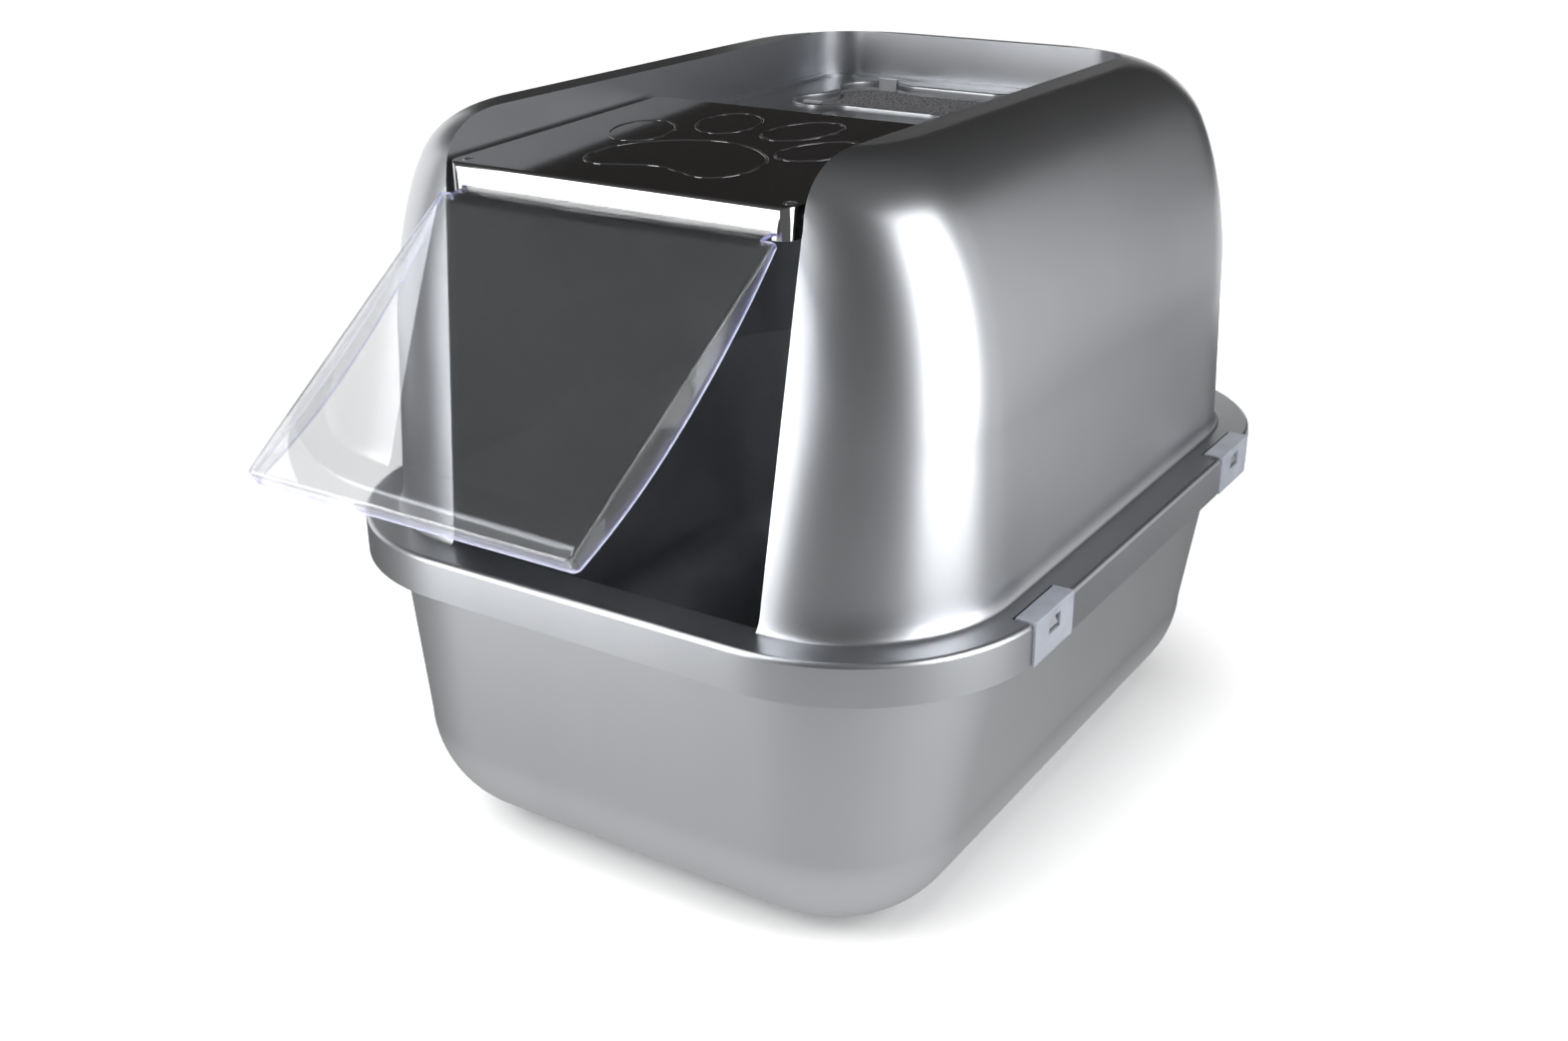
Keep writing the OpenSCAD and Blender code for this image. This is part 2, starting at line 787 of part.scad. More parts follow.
// Depth of a wing at a share of the door's height, from the top down: a parabola from
// the top depth to the widest one, and another from there to the bottom depth
function wing_at(s) =
    let (widest = 0.62)
    s < widest
        ? wing_depth[1] - (wing_depth[1] - wing_depth[0]) * pow(1 - s / widest, 2)
        : wing_depth[1]
            - (wing_depth[1] - wing_depth[2]) * pow((s - widest) / (1 - widest), 2);

// The door, hanging straight down from an axis at the origin, with its front to -Y
module hanging_door() {
    top = -door_hang;
    narrow = door_top_half - door_bottom_half;
    corner = 7;
    // panel
    translate([0, -door_offset + door_t / 2, 0])
        rotate([90, 0, 0])
            linear_extrude(door_t) {
                polygon([
                    [-door_top_half, top], [door_top_half, top],
                    [door_bottom_half, top - door_h + corner],
                    [door_bottom_half - corner, top - door_h + corner],
                    [door_bottom_half - corner, top - door_h],
                    [-door_bottom_half + corner, top - door_h],
                    [-door_bottom_half + corner, top - door_h + corner],
                    [-door_bottom_half, top - door_h + corner]
                ]);
                for (x = [-1, 1])
                    translate([x * (door_bottom_half - corner), top - door_h + corner])
                        circle(corner, $fn = 48);
            }
    // side wings, leaning with the panel's edges
    both_sides()
        translate([door_top_half, 0, top])
            rotate([0, atan(narrow / door_h), 0])
                translate([-door_t, 0, 0])
                    rotate([90, 0, 90])
                        linear_extrude(door_t)
                            polygon(concat(
                                [[-door_offset, -door_h + corner], [-door_offset, 0]],
                                [for (s = [0:0.1:0.9])
                                    [-door_offset + wing_at(s), -door_h * s]],
                                [[-door_offset + wing_depth[2], -door_h + corner]]
                            ));
    // lip turned in along the bottom edge
    translate([-door_bottom_half + corner, -door_offset, top - door_h])
        cube([2 * (door_bottom_half - corner), wing_depth[2], door_t]);
    both_sides()
        translate([door_bottom_half - corner, -door_offset, top - door_h + corner])
            rotate([-90, 0, 0])
                linear_extrude(wing_depth[2])
                    intersection() {
                        difference() {
                            circle(corner, $fn = 48);
                            circle(corner - door_t, $fn = 48);
                        }
                        square(corner);
                    }
    // web from the panel's top edge back to the hinge bar
    along_x(2 * door_bar_half)
        polygon([
            [-door_offset - door_t / 2, top], [-door_offset + door_t / 2, top - 2],
            [door_t / 2, -0.4], [-door_t / 2, 0.4]
        ]);
    x_bar(-door_bar_half, door_bar_half, 0, 0, door_bar_r);
    x_bar(-leg_in - door_pin_l, leg_in + door_pin_l, 0, 0, door_pin_r);
}

module door() {
    color([0.85, 0.88, 0.95, 0.4])
        translate([0, door_axis_y, door_axis_z])
            rotate([-door_set, 0, 0]) hanging_door();
}

// ---- filter --------------------------------------------------------------------------

// Slotted tray under the opening, with four snap tabs that hook over its raised edge
module filter_tray() {
    lobe_x = filter_half[0] - lobe_r;
    slots = floor((filter_half[0] - tray_border) / slot_step);
    color([0.45, 0.46, 0.48])
        translate([0, filter_y, 0]) {
            difference() {
                translate([0, 0, tray_top - tray_h])
                    linear_extrude(tray_h) filter_outline(tray_t);
                translate([0, 0, tray_top - tray_h + tray_t])
                    linear_extrude(tray_h) filter_outline(0);
                for (k = [-slots:slots])
                    translate([k * slot_step - tray_slot / 2, -filter_half[1] + tray_border,
                            tray_top - tray_h - over])
                        cube([tray_slot, 2 * (filter_half[1] - tray_border),
                            tray_t + 2 * over]);
            }
            for (x = [-1, 1], y = [-1, 1])
                translate([x * lobe_x, 0, 0]) filter_tab(y);
        }
}

// One tab at a lobe: a foot on the tray's wall, a blade up through the opening, and a hook
// over the opening's raised edge
module filter_tab(side) {
    // the lobe curves away behind the tab's corners
    wall = filter_half[1] - lobe_r + sqrt(pow(lobe_r, 2) - pow(tab_w / 2, 2));
    edge_top = recess_z + filter_edge[1];
    inner = wall - face_gap - tab_t;
    mirror([0, side < 0 ? 1 : 0, 0])
        translate([-tab_w / 2, inner, 0]) {
            translate([0, 0, tray_top - tab_foot])
                cube([tab_w, tab_t, edge_top + face_gap + tab_t - tray_top + tab_foot]);
            translate([0, 0, tray_top - tab_foot])
                cube([tab_w, filter_half[1] + tray_t / 2 - inner, tab_foot - face_gap]);
            translate([0, 0, edge_top + face_gap])
                cube([tab_w, tab_t + tab_hook, tab_t]);
        }
}

// Carbon foam pad that fills the tray, notched round the tabs
module filter_pad() {
    lobe_x = filter_half[0] - lobe_r;
    notch = tab_w + 2 * pad_gap;
    notch_in = lobe_r - sqrt(pow(lobe_r, 2) - pow(tab_w / 2, 2))
        + tab_t + face_gap + pad_gap;
    color([0.08, 0.08, 0.09])
        translate([0, filter_y, tray_top - tray_h + tray_t + face_gap])
            linear_extrude(pad_t)
                difference() {
                    filter_outline(-pad_gap);
                    for (x = [-1, 1], y = [-1, 1])
                        translate([x * lobe_x, y * filter_half[1]])
                            square([notch, 2 * notch_in], center = true);
                }
}

// ---- nodes ---------------------------------------------------------------------------

tub();
hood();
translate([0, -clip_y, 0]) mirror([1, 0, 0]) clip();  // clip_front_left
translate([0, -clip_y, 0]) clip();  // clip_front_right
translate([0, clip_y, 0]) mirror([1, 0, 0]) clip();  // clip_rear_left
translate([0, clip_y, 0]) clip();  // clip_rear_right
lid();
mirror([1, 0, 0]) pivot_block();  // pivot_block_left
pivot_block();  // pivot_block_right
pivot_screws();
door();
filter_tray();
filter_pad();
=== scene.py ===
# %% [markdown]
# # A hooded cat litter box
#
# The real box is a handful of plastic mouldings: a deep tub, a domed hood, a lid let into the
# hood's roof, a clear door that hangs from the lid, four clips and a filter. The working model
# of it, with its sizes and hinges, is already made and is loaded here as a fixed frame. What
# Blender adds is everything the eye judges: curves that are truly smooth, edges that catch the
# light, and plastics that look like silver paint, clear sheet and foam.

# %% Load the fixed frame
import json
import math

import bmesh
import bpy
from mathutils import Matrix, Vector


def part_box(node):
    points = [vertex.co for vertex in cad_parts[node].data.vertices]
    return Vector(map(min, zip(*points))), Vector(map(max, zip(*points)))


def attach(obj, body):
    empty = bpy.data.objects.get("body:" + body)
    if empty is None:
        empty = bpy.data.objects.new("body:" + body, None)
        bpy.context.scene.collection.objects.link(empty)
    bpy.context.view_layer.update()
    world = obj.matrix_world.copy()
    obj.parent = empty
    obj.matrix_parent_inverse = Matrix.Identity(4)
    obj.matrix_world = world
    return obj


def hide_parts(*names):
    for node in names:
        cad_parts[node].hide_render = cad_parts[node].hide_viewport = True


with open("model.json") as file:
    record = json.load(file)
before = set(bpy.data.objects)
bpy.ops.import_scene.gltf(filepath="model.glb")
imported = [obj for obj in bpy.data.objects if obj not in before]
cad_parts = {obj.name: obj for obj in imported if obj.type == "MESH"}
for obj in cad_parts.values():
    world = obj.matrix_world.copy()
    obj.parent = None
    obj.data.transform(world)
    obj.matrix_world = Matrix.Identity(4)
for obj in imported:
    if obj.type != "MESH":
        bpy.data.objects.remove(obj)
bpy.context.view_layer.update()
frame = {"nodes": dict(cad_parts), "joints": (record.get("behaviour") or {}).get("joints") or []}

# %% [markdown]
# ## Working by hand, in code
#
# Operators act on whatever is selected. Each helper below therefore starts by selecting one
# thing only. A modifier is applied as soon as it is added, so that the next step can work on
# the mesh that it made.

# %% Selecting one piece, and applying a modifier
MM = 0.001


def only(obj):
    """Leave edit mode and make obj the one selected, active object."""
    if bpy.context.mode != "OBJECT":
        bpy.ops.object.mode_set(mode="OBJECT")
    bpy.ops.object.select_all(action="DESELECT")
    obj.select_set(True)
    bpy.context.view_layer.objects.active = obj
    return obj


def modify(obj, kind, **settings):
    """Add one modifier with these settings and apply it."""
    only(obj)
    mod = obj.modifiers.new(kind.title(), kind)
    for name, value in settings.items():
        setattr(mod, name, value)
    bpy.ops.object.modifier_apply(modifier=mod.name)
    return obj


def edit(obj, mode="VERT"):
    """Go into edit mode on obj with nothing selected, and return its editable mesh."""
    only(obj)
    bpy.ops.object.mode_set(mode="EDIT")
    bpy.ops.mesh.select_mode(type=mode)
    bpy.ops.mesh.select_all(action="DESELECT")
    return bmesh.from_edit_mesh(obj.data)


def pick(bm, elements, test):
    """Select the vertices, edges or faces that pass a test, and count them."""
    chosen = [e for e in elements if test(e)]
    for e in chosen:
        e.select_set(True)
    bm.select_flush_mode()
    return len(chosen)


def done(obj):
    bpy.ops.object.mode_set(mode="OBJECT")
    return obj


# %% [markdown]
# ## Finishing every piece the same way
#
# Moulded plastic has no truly sharp edges. A narrow bevel on each one is what draws the thin
# bright lines along real mouldings. Shading by angle then keeps the flats flat and the curves
# smooth, and the weighted normals stop a wide flat face from picking up its neighbour's curve.

# %% Soft edges, smooth shading, and copies of the frame's own pieces
def soften(obj, width, angle=35, segments=3):
    """A narrow round on every edge that is sharper than the angle, in degrees."""
    return modify(obj, "BEVEL", width=width, segments=segments, limit_method="ANGLE",
                  angle_limit=math.radians(angle), use_clamp_overlap=True)


def smooth(obj, angle=35):
    only(obj)
    bpy.ops.object.shade_smooth_by_angle(angle=math.radians(angle))
    return modify(obj, "WEIGHTED_NORMAL", keep_sharp=True, weight=70)


def repair(obj):
    """Merge doubles and turn every face outwards."""
    edit(obj)
    bpy.ops.mesh.select_all(action="SELECT")
    bpy.ops.mesh.remove_doubles(threshold=0.01 * MM)
    bpy.ops.mesh.normals_make_consistent(inside=False)
    return done(obj)


def copy_of(node, name):
    """A clean copy of a frame piece: its loose triangles are joined up into whole faces."""
    source = frame["nodes"][node]
    obj = source.copy()
    obj.data = source.data.copy()
    obj.name = obj.data.name = name
    obj.parent = None
    for key in list(obj.keys()):
        del obj[key]
    obj.data.materials.clear()
    bpy.context.scene.collection.objects.link(obj)
    edit(obj)
    bpy.ops.mesh.select_all(action="SELECT")
    bpy.ops.mesh.remove_doubles(threshold=0.005 * MM)
    bpy.ops.mesh.dissolve_limited(angle_limit=math.radians(0.3))
    return done(obj)


def join(obj, *others):
    """Make several meshes one piece."""
    only(obj)
    for other in others:
        other.select_set(True)
    bpy.ops.object.join()
    return obj


def cube(name, low, high):
    """A box between two corners, with its place in its mesh."""
    size = Vector(high) - Vector(low)
    bpy.ops.mesh.primitive_cube_add(size=1, location=(Vector(low) + Vector(high)) / 2)
    obj = bpy.context.object
    obj.name = name
    obj.scale = size
    bpy.ops.object.transform_apply(location=True, rotation=True, scale=True)
    return obj


def cut(obj, *cutters):
    """Take the cutters away from obj, one by one."""
    for cutter in cutters:
        modify(obj, "BOOLEAN", operation="DIFFERENCE", object=cutter, solver="MANIFOLD")
        bpy.data.objects.remove(cutter)
    return obj


def add(obj, other):
    """Melt another closed shape into obj."""
    modify(obj, "BOOLEAN", operation="UNION", object=other, solver="MANIFOLD")
    bpy.data.objects.remove(other)
    return obj


def assign(obj, body, slot, *replaced):
    """Fix a finished piece to its body and hide the frame pieces it stands for. The slot, meant
    for its finish, is not used.
    """
    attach(obj, body)
    if replaced:
        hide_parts(*replaced)
    print(f"{obj.name}: {len(obj.data.polygons)} faces, rides on {body}")
    return obj


# %% [markdown]
# ## Skins made of rings
#
# Tub, rim and hood are all the same kind of shape: a rounded rectangle that grows, shrinks and
# leans as it rises. By hand one lays a circle on the first outline, extrudes it, lays the new
# ring on the next outline, and so on. The helper does just that. Every ring has the same
# number of points on each straight and each corner, so the flow lines run cleanly up the wall.

# %% The outline of a ring, and a skin through many rings
SIDE_STEPS, END_STEPS, CORNER_STEPS = 28, 22, 18


def outline(half, front, rear, front_r, rear_r):
    """Points of a rounded rectangle, anticlockwise from the front end of the right side."""
    points = []

    def straight(a, b, steps):
        points.extend(a.lerp(b, k / steps) for k in range(steps))

    def corner(x, y, r, start):
        for k in range(CORNER_STEPS):
            turn = math.radians(start + 90 * k / CORNER_STEPS)
            points.append(Vector((x + r * math.cos(turn), y + r * math.sin(turn))))

    straight(Vector((half, front + front_r)), Vector((half, rear - rear_r)), SIDE_STEPS)
    corner(half - rear_r, rear - rear_r, rear_r, 0)
    straight(Vector((half - rear_r, rear)), Vector((rear_r - half, rear)), END_STEPS)
    corner(rear_r - half, rear - rear_r, rear_r, 90)
    straight(Vector((-half, rear - rear_r)), Vector((-half, front + front_r)), SIDE_STEPS)
    corner(front_r - half, front + front_r, front_r, 180)
    straight(Vector((front_r - half, front)), Vector((half - front_r, front)), END_STEPS)
    corner(half - front_r, front + front_r, front_r, 270)
    return points


def lay_rings(name, rings, closed=False):
    """Extrude one circle through rings of points, each ring with as many points as the next.
    An open skin is capped at both ends; a closed one joins its last ring to its first."""
    bpy.ops.mesh.primitive_circle_add(vertices=len(rings[0]), radius=1)
    obj = bpy.context.object
    obj.name = name
    bm = edit(obj)
    place = bm.verts.layers.int.new("place")
    bm.verts.ensure_lookup_table()
    for k, v in enumerate(bm.verts):
        v[place] = k
    bpy.ops.mesh.select_all(action="SELECT")
    if not closed:
        bpy.ops.mesh.edge_face_add()
    for count, points in enumerate(rings):
        if count:
            bpy.ops.mesh.extrude_edges_move()
        bm = bmesh.from_edit_mesh(obj.data)
        place = bm.verts.layers.int["place"]
        for v in bm.verts:
            if v.select:
                v.co = points[v[place]]
    if closed:
        bmesh.update_edit_mesh(obj.data)
        bpy.ops.mesh.select_all(action="DESELECT")
        bpy.ops.mesh.select_non_manifold()
        bpy.ops.mesh.bridge_edge_loops()
    else:
        bpy.ops.mesh.edge_face_add()
    done(obj)
    obj.data.attributes.remove(obj.data.attributes["place"])
    print(f"{name}: {len(rings)} rings of {len(rings[0])} points")
    return repair(obj)


def skin(name, rings, closed=False):
    """A skin of rounded rectangles: (height, half width, front, rear, two corner radii)."""
    return lay_rings(name, [[(*point, z) for point in outline(*shape)]
                            for z, *shape in rings], closed)


# %% [markdown]
# ## The sizes that everything hangs on
#
# The frame's boxes give the outer sizes. The shapes of the curves, which a box can't tell, are
# named here once, in metres, and used for every piece that shares them.

# %% Sizes from the frame, and the shapes of the curves
tub_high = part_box("tub")[1]
hood_low, hood_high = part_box("hood")
lid_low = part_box("lid")[0]

band_t = 3 * MM
rim_gap = 1 * MM
rim_half = tub_high.x + band_t + rim_gap
rim_end = hood_high.y
rim_r = 124 * MM
rim_top = tub_high.z + band_t
roof_z = hood_high.z
hood_h = roof_z - rim_top
skirt_h = rim_top - hood_low.z
print(f"rim {2000 * rim_half:.0f} x {2000 * rim_end:.0f} mm, {1000 * rim_top:.0f} mm up")
print(f"hood {1000 * hood_h:.0f} mm above it")

# %% [markdown]
# ## Tub
#
# A deep pan, pressed with slightly leaning walls so that tubs stack inside each other, and a
# big round between walls and floor so that litter doesn't lodge there. It could be a box with
# bevelled edges, but its front leans less than its sides, so it is laid up ring by ring: up
# the outside, over the flat rim with its turned-down edge, and down the inside.

# %% Tub: outside, rim and inside as one skin
tub_wall = 2.8 * MM
tub_inset = 18.5 * MM
tub_fillet = 75 * MM
tub_base_r = 84.6 * MM
tub_lip_h = 12 * MM
tub_lip_t = 2 * MM
foot_h, foot_margin, foot_turn = 1.5 * MM, 12 * MM, 75
side_taper, front_taper, rear_taper = (math.tan(math.radians(a)) for a in (8.9, 3, 6))
tub_top = tub_high.z


def tub_ring(rise, turn, inset):
    """The tub's wall at a height above its fillet, or part way round the fillet."""
    r = tub_fillet - inset
    turn = math.radians(turn)
    straight_h = tub_top - foot_h - tub_fillet
    fall = straight_h - rise
    across = inset + r * (1 - math.cos(turn))
    step = tub_inset + across
    corner = tub_base_r + (rim_r - tub_inset - tub_base_r) * rise / straight_h - across
    return (
        foot_h + tub_fillet + rise - r * math.sin(turn),
        rim_half - step - fall * side_taper,
        -rim_end + step + fall * front_taper,
        rim_end - step - fall * rear_taper,
        corner, corner,
    )


def rim_ring(inset, z):
    """A ring of the rim, measured in from the rim's outer face."""
    corner = rim_r - inset
    return (z, rim_half - inset, -rim_end + inset, rim_end - inset, corner, corner)


def foot_ring(z):
    """The flat foot: a margin in from where the fillet has almost levelled out."""
    _, half, front, rear, corner, _ = tub_ring(0, foot_turn, 0)
    return (z, half - foot_margin, front + foot_margin, rear - foot_margin, corner, corner)


wall_top = tub_top - foot_h - tub_fillet - tub_wall
lip_out = band_t + rim_gap
lip_in = lip_out + tub_lip_t
tub = skin("tub_shell", [
    foot_ring(0),
    foot_ring(foot_h),
    *(tub_ring(0, turn, 0) for turn in range(84, 0, -4)),
    *(tub_ring(wall_top * k / 8, 0, 0) for k in range(9)),
    rim_ring(lip_in, tub_top - tub_wall),
    rim_ring(lip_in, tub_top - tub_lip_h),
    rim_ring(lip_out, tub_top - tub_lip_h),
    rim_ring(lip_out, tub_top),
    rim_ring(tub_inset + tub_wall, tub_top),
    *(tub_ring(wall_top * k / 8, 0, tub_wall) for k in range(8, -1, -1)),
    *(tub_ring(0, turn, tub_wall) for turn in range(4, 92, 4)),
])
soften(tub, 0.8 * MM)
smooth(tub)
assign(tub, "tub", "tub", "tub")

# %% [markdown]
# ## Hood
#
# The hood is one big moulding and the piece that everyone looks at. Its side walls roll into
# the roof in a long slow curve and its front wall in a short tight one, which a plain bevel
# can't do. So an outer and an inner skin are laid up ring by ring from those two curves, and
# the doorway, the roof recess, the hatch and the filter opening are cut out of them.

# %% Hood: the curve of each wall, from its foot to the roof
hood_wall = 2.5 * MM
flange_w = 20.6 * MM
flare_w, flare_h = 3.5 * MM, 8 * MM
foot_in = flange_w + flare_w
# each wall's lean, then the width and height of the ellipse in which it rolls into the roof
walls = {
    "side": (math.tan(math.radians(2.5)), 68 * MM, 150 * MM),
    "front": (math.tan(math.radians(7.8)), 30 * MM, 30 * MM),
    "rear": (math.tan(math.radians(4.2)), 41 * MM, 40 * MM),
}
front_top_r, rear_top_r = 60 * MM, 80 * MM


def wall_in(wall, z, top, inset):
    """How far a wall has come in at a height: it leans, then rolls over in an ellipse."""
    lean, width, height = walls[wall]
    width, height = width - inset, height - inset
    start = top - height
    s = min(1, max(0, (z - start) / height))
    return lean * min(z, start) + width * (1 - math.sqrt(1 - s * s))


def hood_ring(z, inset, flare=0):
    """The hood's wall at a height above the rim, inset for its inner face."""
    top = hood_h - inset
    up = z / top
    foot_r = rim_r - foot_in
    base = foot_in + inset - flare
    return (
        rim_top + z,
        rim_half - base - wall_in("side", z, top, inset),
        -rim_end + base + wall_in("front", z, top, inset),
        rim_end - base - wall_in("rear", z, top, inset),
        foot_r + (front_top_r - foot_r) * up - inset + flare,
        foot_r + (rear_top_r - foot_r) * up - inset + flare,
    )


def hood_rings(inset, steps=40):
    """Ring heights follow the side wall's roll, so they crowd together near the roof."""
    top = hood_h - inset
    start = top - walls["side"][2] + inset
    low = flare_h if inset == 0 else 0
    rise = [low + (start - low) * k / 8 for k in range(8)]
    roll = [start + (top - start) * math.sin(math.radians(90 * k / steps))
            for k in range(steps + 1)]
    return [hood_ring(z, inset) for z in rise + roll]


def flare_rings(steps=8):
    """The small hollow curve in which the wall runs out onto the flange."""
    rings = []
    for k in range(steps):
        turn = math.radians(90 * k / steps)
        rings.append(hood_ring(flare_h * (1 - math.cos(turn)), 0,
                               flare_w * (1 - math.sin(turn))))
    return [(rim_top - MM, *rings[0][1:])] + rings


outer = skin("hood_shell", flare_rings() + hood_rings(0))
below_flange = 5 * MM
inner_rings = hood_rings(hood_wall)
inner_rings[0] = (rim_top - below_flange, *inner_rings[0][1:])
inner = skin("hood_inside", inner_rings)

# %% Hood: the recess in the roof
recess_half = 119 * MM
recess_floor = roof_z - 32.3 * MM
recess_rear = rim_end - 84.5 * MM
recess_r = 28 * MM
ledge_w, ledge_h = 7.5 * MM, 2.1 * MM
above_roof = 20 * MM
front_edge = -rim_end
tray_top = recess_floor - hood_wall


def recess_block(name, half, rear, z, round_r=recess_r):
    """The space in the recess above a height, with its two rear corners rounded."""
    block = cube(name, (-half, front_edge, z), (half, rear, roof_z + above_roof))
    bm = edit(block, "EDGE")
    pick(bm, bm.edges, lambda e: all(v.co.y > 0 for v in e.verts)
         and abs(e.verts[0].co.x - e.verts[1].co.x) < MM)
    bpy.ops.mesh.bevel(offset=round_r, segments=14, affect="EDGES")
    return done(block)


lining = recess_block("lining", recess_half + hood_wall, recess_rear + hood_wall, tray_top)
cut(inner, lining)
hood = cut(outer, inner)
cut(hood, recess_block("recess", recess_half, recess_rear, recess_floor + ledge_h))
cut(hood, recess_block("floor", recess_half - ledge_w, recess_rear - ledge_w, recess_floor,
                       recess_r - ledge_w))

# %% Hood: the hatch under the lid, and the doorway
lid_axis_y = next(j for j in frame["joints"] if j["name"] == "lid_hinge")["pos_m"][1]
lid_front = lid_low.y
above_floor = 10 * MM
leg_room, doorway_reach, doorway_low = 19.2 * MM, 60 * MM, 3 * MM
cut(hood, cube("hatch", (ledge_w - recess_half, front_edge, tray_top - MM),
               (recess_half - ledge_w, lid_axis_y - MM, recess_floor + above_floor)))
cut(hood, cube("hatch_front", (-recess_half, front_edge, tray_top - MM),
               (recess_half, lid_front + leg_room, recess_floor + above_floor)))
doorway_half = 108.5 * MM
doorway = cube("doorway", (-doorway_half, front_edge - MM, rim_top - doorway_low),
               (doorway_half, lid_front + doorway_reach, recess_floor))
bm = edit(doorway)
pick(bm, bm.verts, lambda v: v.co.z > rim_top)
bpy.ops.transform.resize(value=(recess_half / doorway_half, 1, 1))
cut(hood, done(doorway))
repair(hood)
print("hood:", len(hood.data.polygons), "faces after its cuts")

# %% [markdown]
# ## The hood's rim
#
# The hood ends in a flat flange with a skirt that hangs over the tub's edge. It is one
# constant section, run right round the box, so its section becomes a closed set of rings. The
# four clips need a shallow pocket each, a slit for the hinge, and a wedge to snap over.

# %% Rim: section, pockets and slits
rim_edge_r = 3 * MM
edge_steps = [math.radians(t) for t in range(90, -1, -15)]
rim = skin("rim", [
    rim_ring(band_t, rim_top - skirt_h),
    rim_ring(band_t, rim_top - band_t),
    rim_ring(foot_in + hood_wall, rim_top - band_t),
    rim_ring(foot_in + hood_wall, rim_top),
    *(rim_ring(rim_edge_r * (1 - math.cos(t)), rim_top - rim_edge_r * (1 - math.sin(t)))
      for t in edge_steps),
    rim_ring(0, rim_top - skirt_h),
], closed=True)

clip_low, clip_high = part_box("clip_front_right")
clip_y = -(clip_low.y + clip_high.y) / 2
clip_places = [(side, end) for side in (-1, 1) for end in (-clip_y, clip_y)]
pocket_half = 25.3 * MM
pocket_in = 1.4 * MM
clip_axis_x = rim_half - 10.5 * MM
slit_out, slit_in, slit_deep = 1.7 * MM, 3.08 * MM, 5 * MM


def side_block(name, side, end, half, out, up):
    """A block on one side of the rim: how far out it runs, and from what height to what."""
    low_x, high_x = sorted(side * x for x in out)
    return cube(name, (low_x, end - half, up[0]), (high_x, end + half, up[1]))


for side, end in clip_places:
    cut(rim,
        side_block("pocket_top", side, end, pocket_half,
                   (clip_axis_x + slit_out - MM, rim_half + MM), (rim_top - pocket_in, roof_z)),
        side_block("pocket_face", side, end, pocket_half,
                   (rim_half - pocket_in, rim_half + MM), (hood_low.z - MM, rim_top + MM)),
        side_block("slit", side, end, pocket_half,
                   (clip_axis_x - slit_in, clip_axis_x + slit_out), (rim_top - slit_deep, roof_z)))
print("rim:", len(rim.data.polygons), "faces with", len(clip_places), "pockets")
add(hood, rim)
repair(hood)

# %% Filter opening: a bone-shaped outline
filter_half = Vector((79 * MM, 53 * MM))
lobe_r, waist, lobe_ramp = 24 * MM, 9 * MM, 24 * MM
filter_y = recess_rear - 78.5 * MM


def drawn_in(from_lobe):
    """The edge is drawn in smoothly between one lobe and the next."""
    return waist * (1 - math.cos(math.pi * min(1, from_lobe / lobe_ramp))) / 2


def bone(grow):
    """The opening's outline, a quarter at a time, grown outwards by a margin."""
    x, y, r = filter_half.x + grow, filter_half.y + grow, lobe_r + grow
    a, b = x - r, y - r
    quarter = [(x - drawn_in(b * (1 - k / 12)), b * k / 12) for k in range(12)]
    quarter += [(a + r * math.cos(math.radians(t)), b + r * math.sin(math.radians(t)))
                for t in range(0, 91, 6)]
    quarter += [(a * k / 24, y - drawn_in(a * (1 - k / 24))) for k in range(23, -1, -1)]
    return (quarter
            + [(-px, py) for px, py in quarter[-2::-1]]
            + [(-px, -py) for px, py in quarter[1:]]
            + [(px, -py) for px, py in quarter[-2:0:-1]])


def bone_skin(name, rings, closed=False):
    """The same ring-by-ring skin, on the bone outline: (margin, height)."""
    return lay_rings(name, [[(x, y + filter_y, z) for x, y in bone(margin)]
                            for margin, z in rings], closed)


below_tray = 5 * MM
cut(hood, bone_skin("opening", [(0, tray_top - below_tray), (0, roof_z)]))
bead_w, bead_h = 2.6 * MM, 2.4 * MM
bead_steps = [math.radians(t) for t in range(0, 181, 20)]
bead = bone_skin("bead", [
    (0, recess_floor - MM),
    *((bead_w * (1 - math.cos(t)) / 2, recess_floor + bead_h * math.sin(t) ** 0.6)
      for t in bead_steps),
    (bead_w, recess_floor - MM),
], closed=True)
add(hood, bead)
repair(hood)
print("hood:", len(hood.data.polygons), "faces with its rim and filter opening")

# %% Hood: wedges for the clips, soft edges and smooth curves
window_drop, window_h, tooth_w = 4.5 * MM, 9 * MM, 10 * MM
tooth_sink, tooth_out, tooth_lean = 0.5 * MM, 0.3 * MM, 0.25 * MM
pocket_face = rim_half - pocket_in
tooth_top = rim_top - window_drop - 1.5 * MM
tooth_foot = rim_top - window_drop - window_h + 2.5 * MM
for side, end in clip_places:
    wedge = side_block("wedge", side, end, tooth_w / 2,
                       (pocket_face - tooth_sink, pocket_face + pocket_in + tooth_out),
                       (tooth_foot, tooth_top))
    bm = edit(wedge)
    pick(bm, bm.verts, lambda v: v.co.z > tooth_top - MM and abs(v.co.x) > pocket_face)
    bpy.ops.transform.translate(value=(-side * (pocket_in + tooth_lean), 0, 0))
    add(hood, done(wedge))
repair(hood)
soften(hood, 0.9 * MM, angle=40, segments=3)
smooth(hood, 40)
assign(hood, "hood", "hood", "hood")

# %% [markdown]
# ## Clips, pivot blocks, screws and the filter's tray
#
# These small mouldings already have their exact shape in the frame, since they have to fit and
# turn. They are copied, their triangles are joined into whole faces, and every edge is softened.

# %% Small mouldings: softened copies
def soft_copy(node, name, body, slot, width, segments=3):
    """A frame piece's copy, with its edges softened, fixed to its body."""
    piece = copy_of(node, name)
    soften(piece, width, segments=segments)
    smooth(piece)
    return assign(piece, body, slot, node)


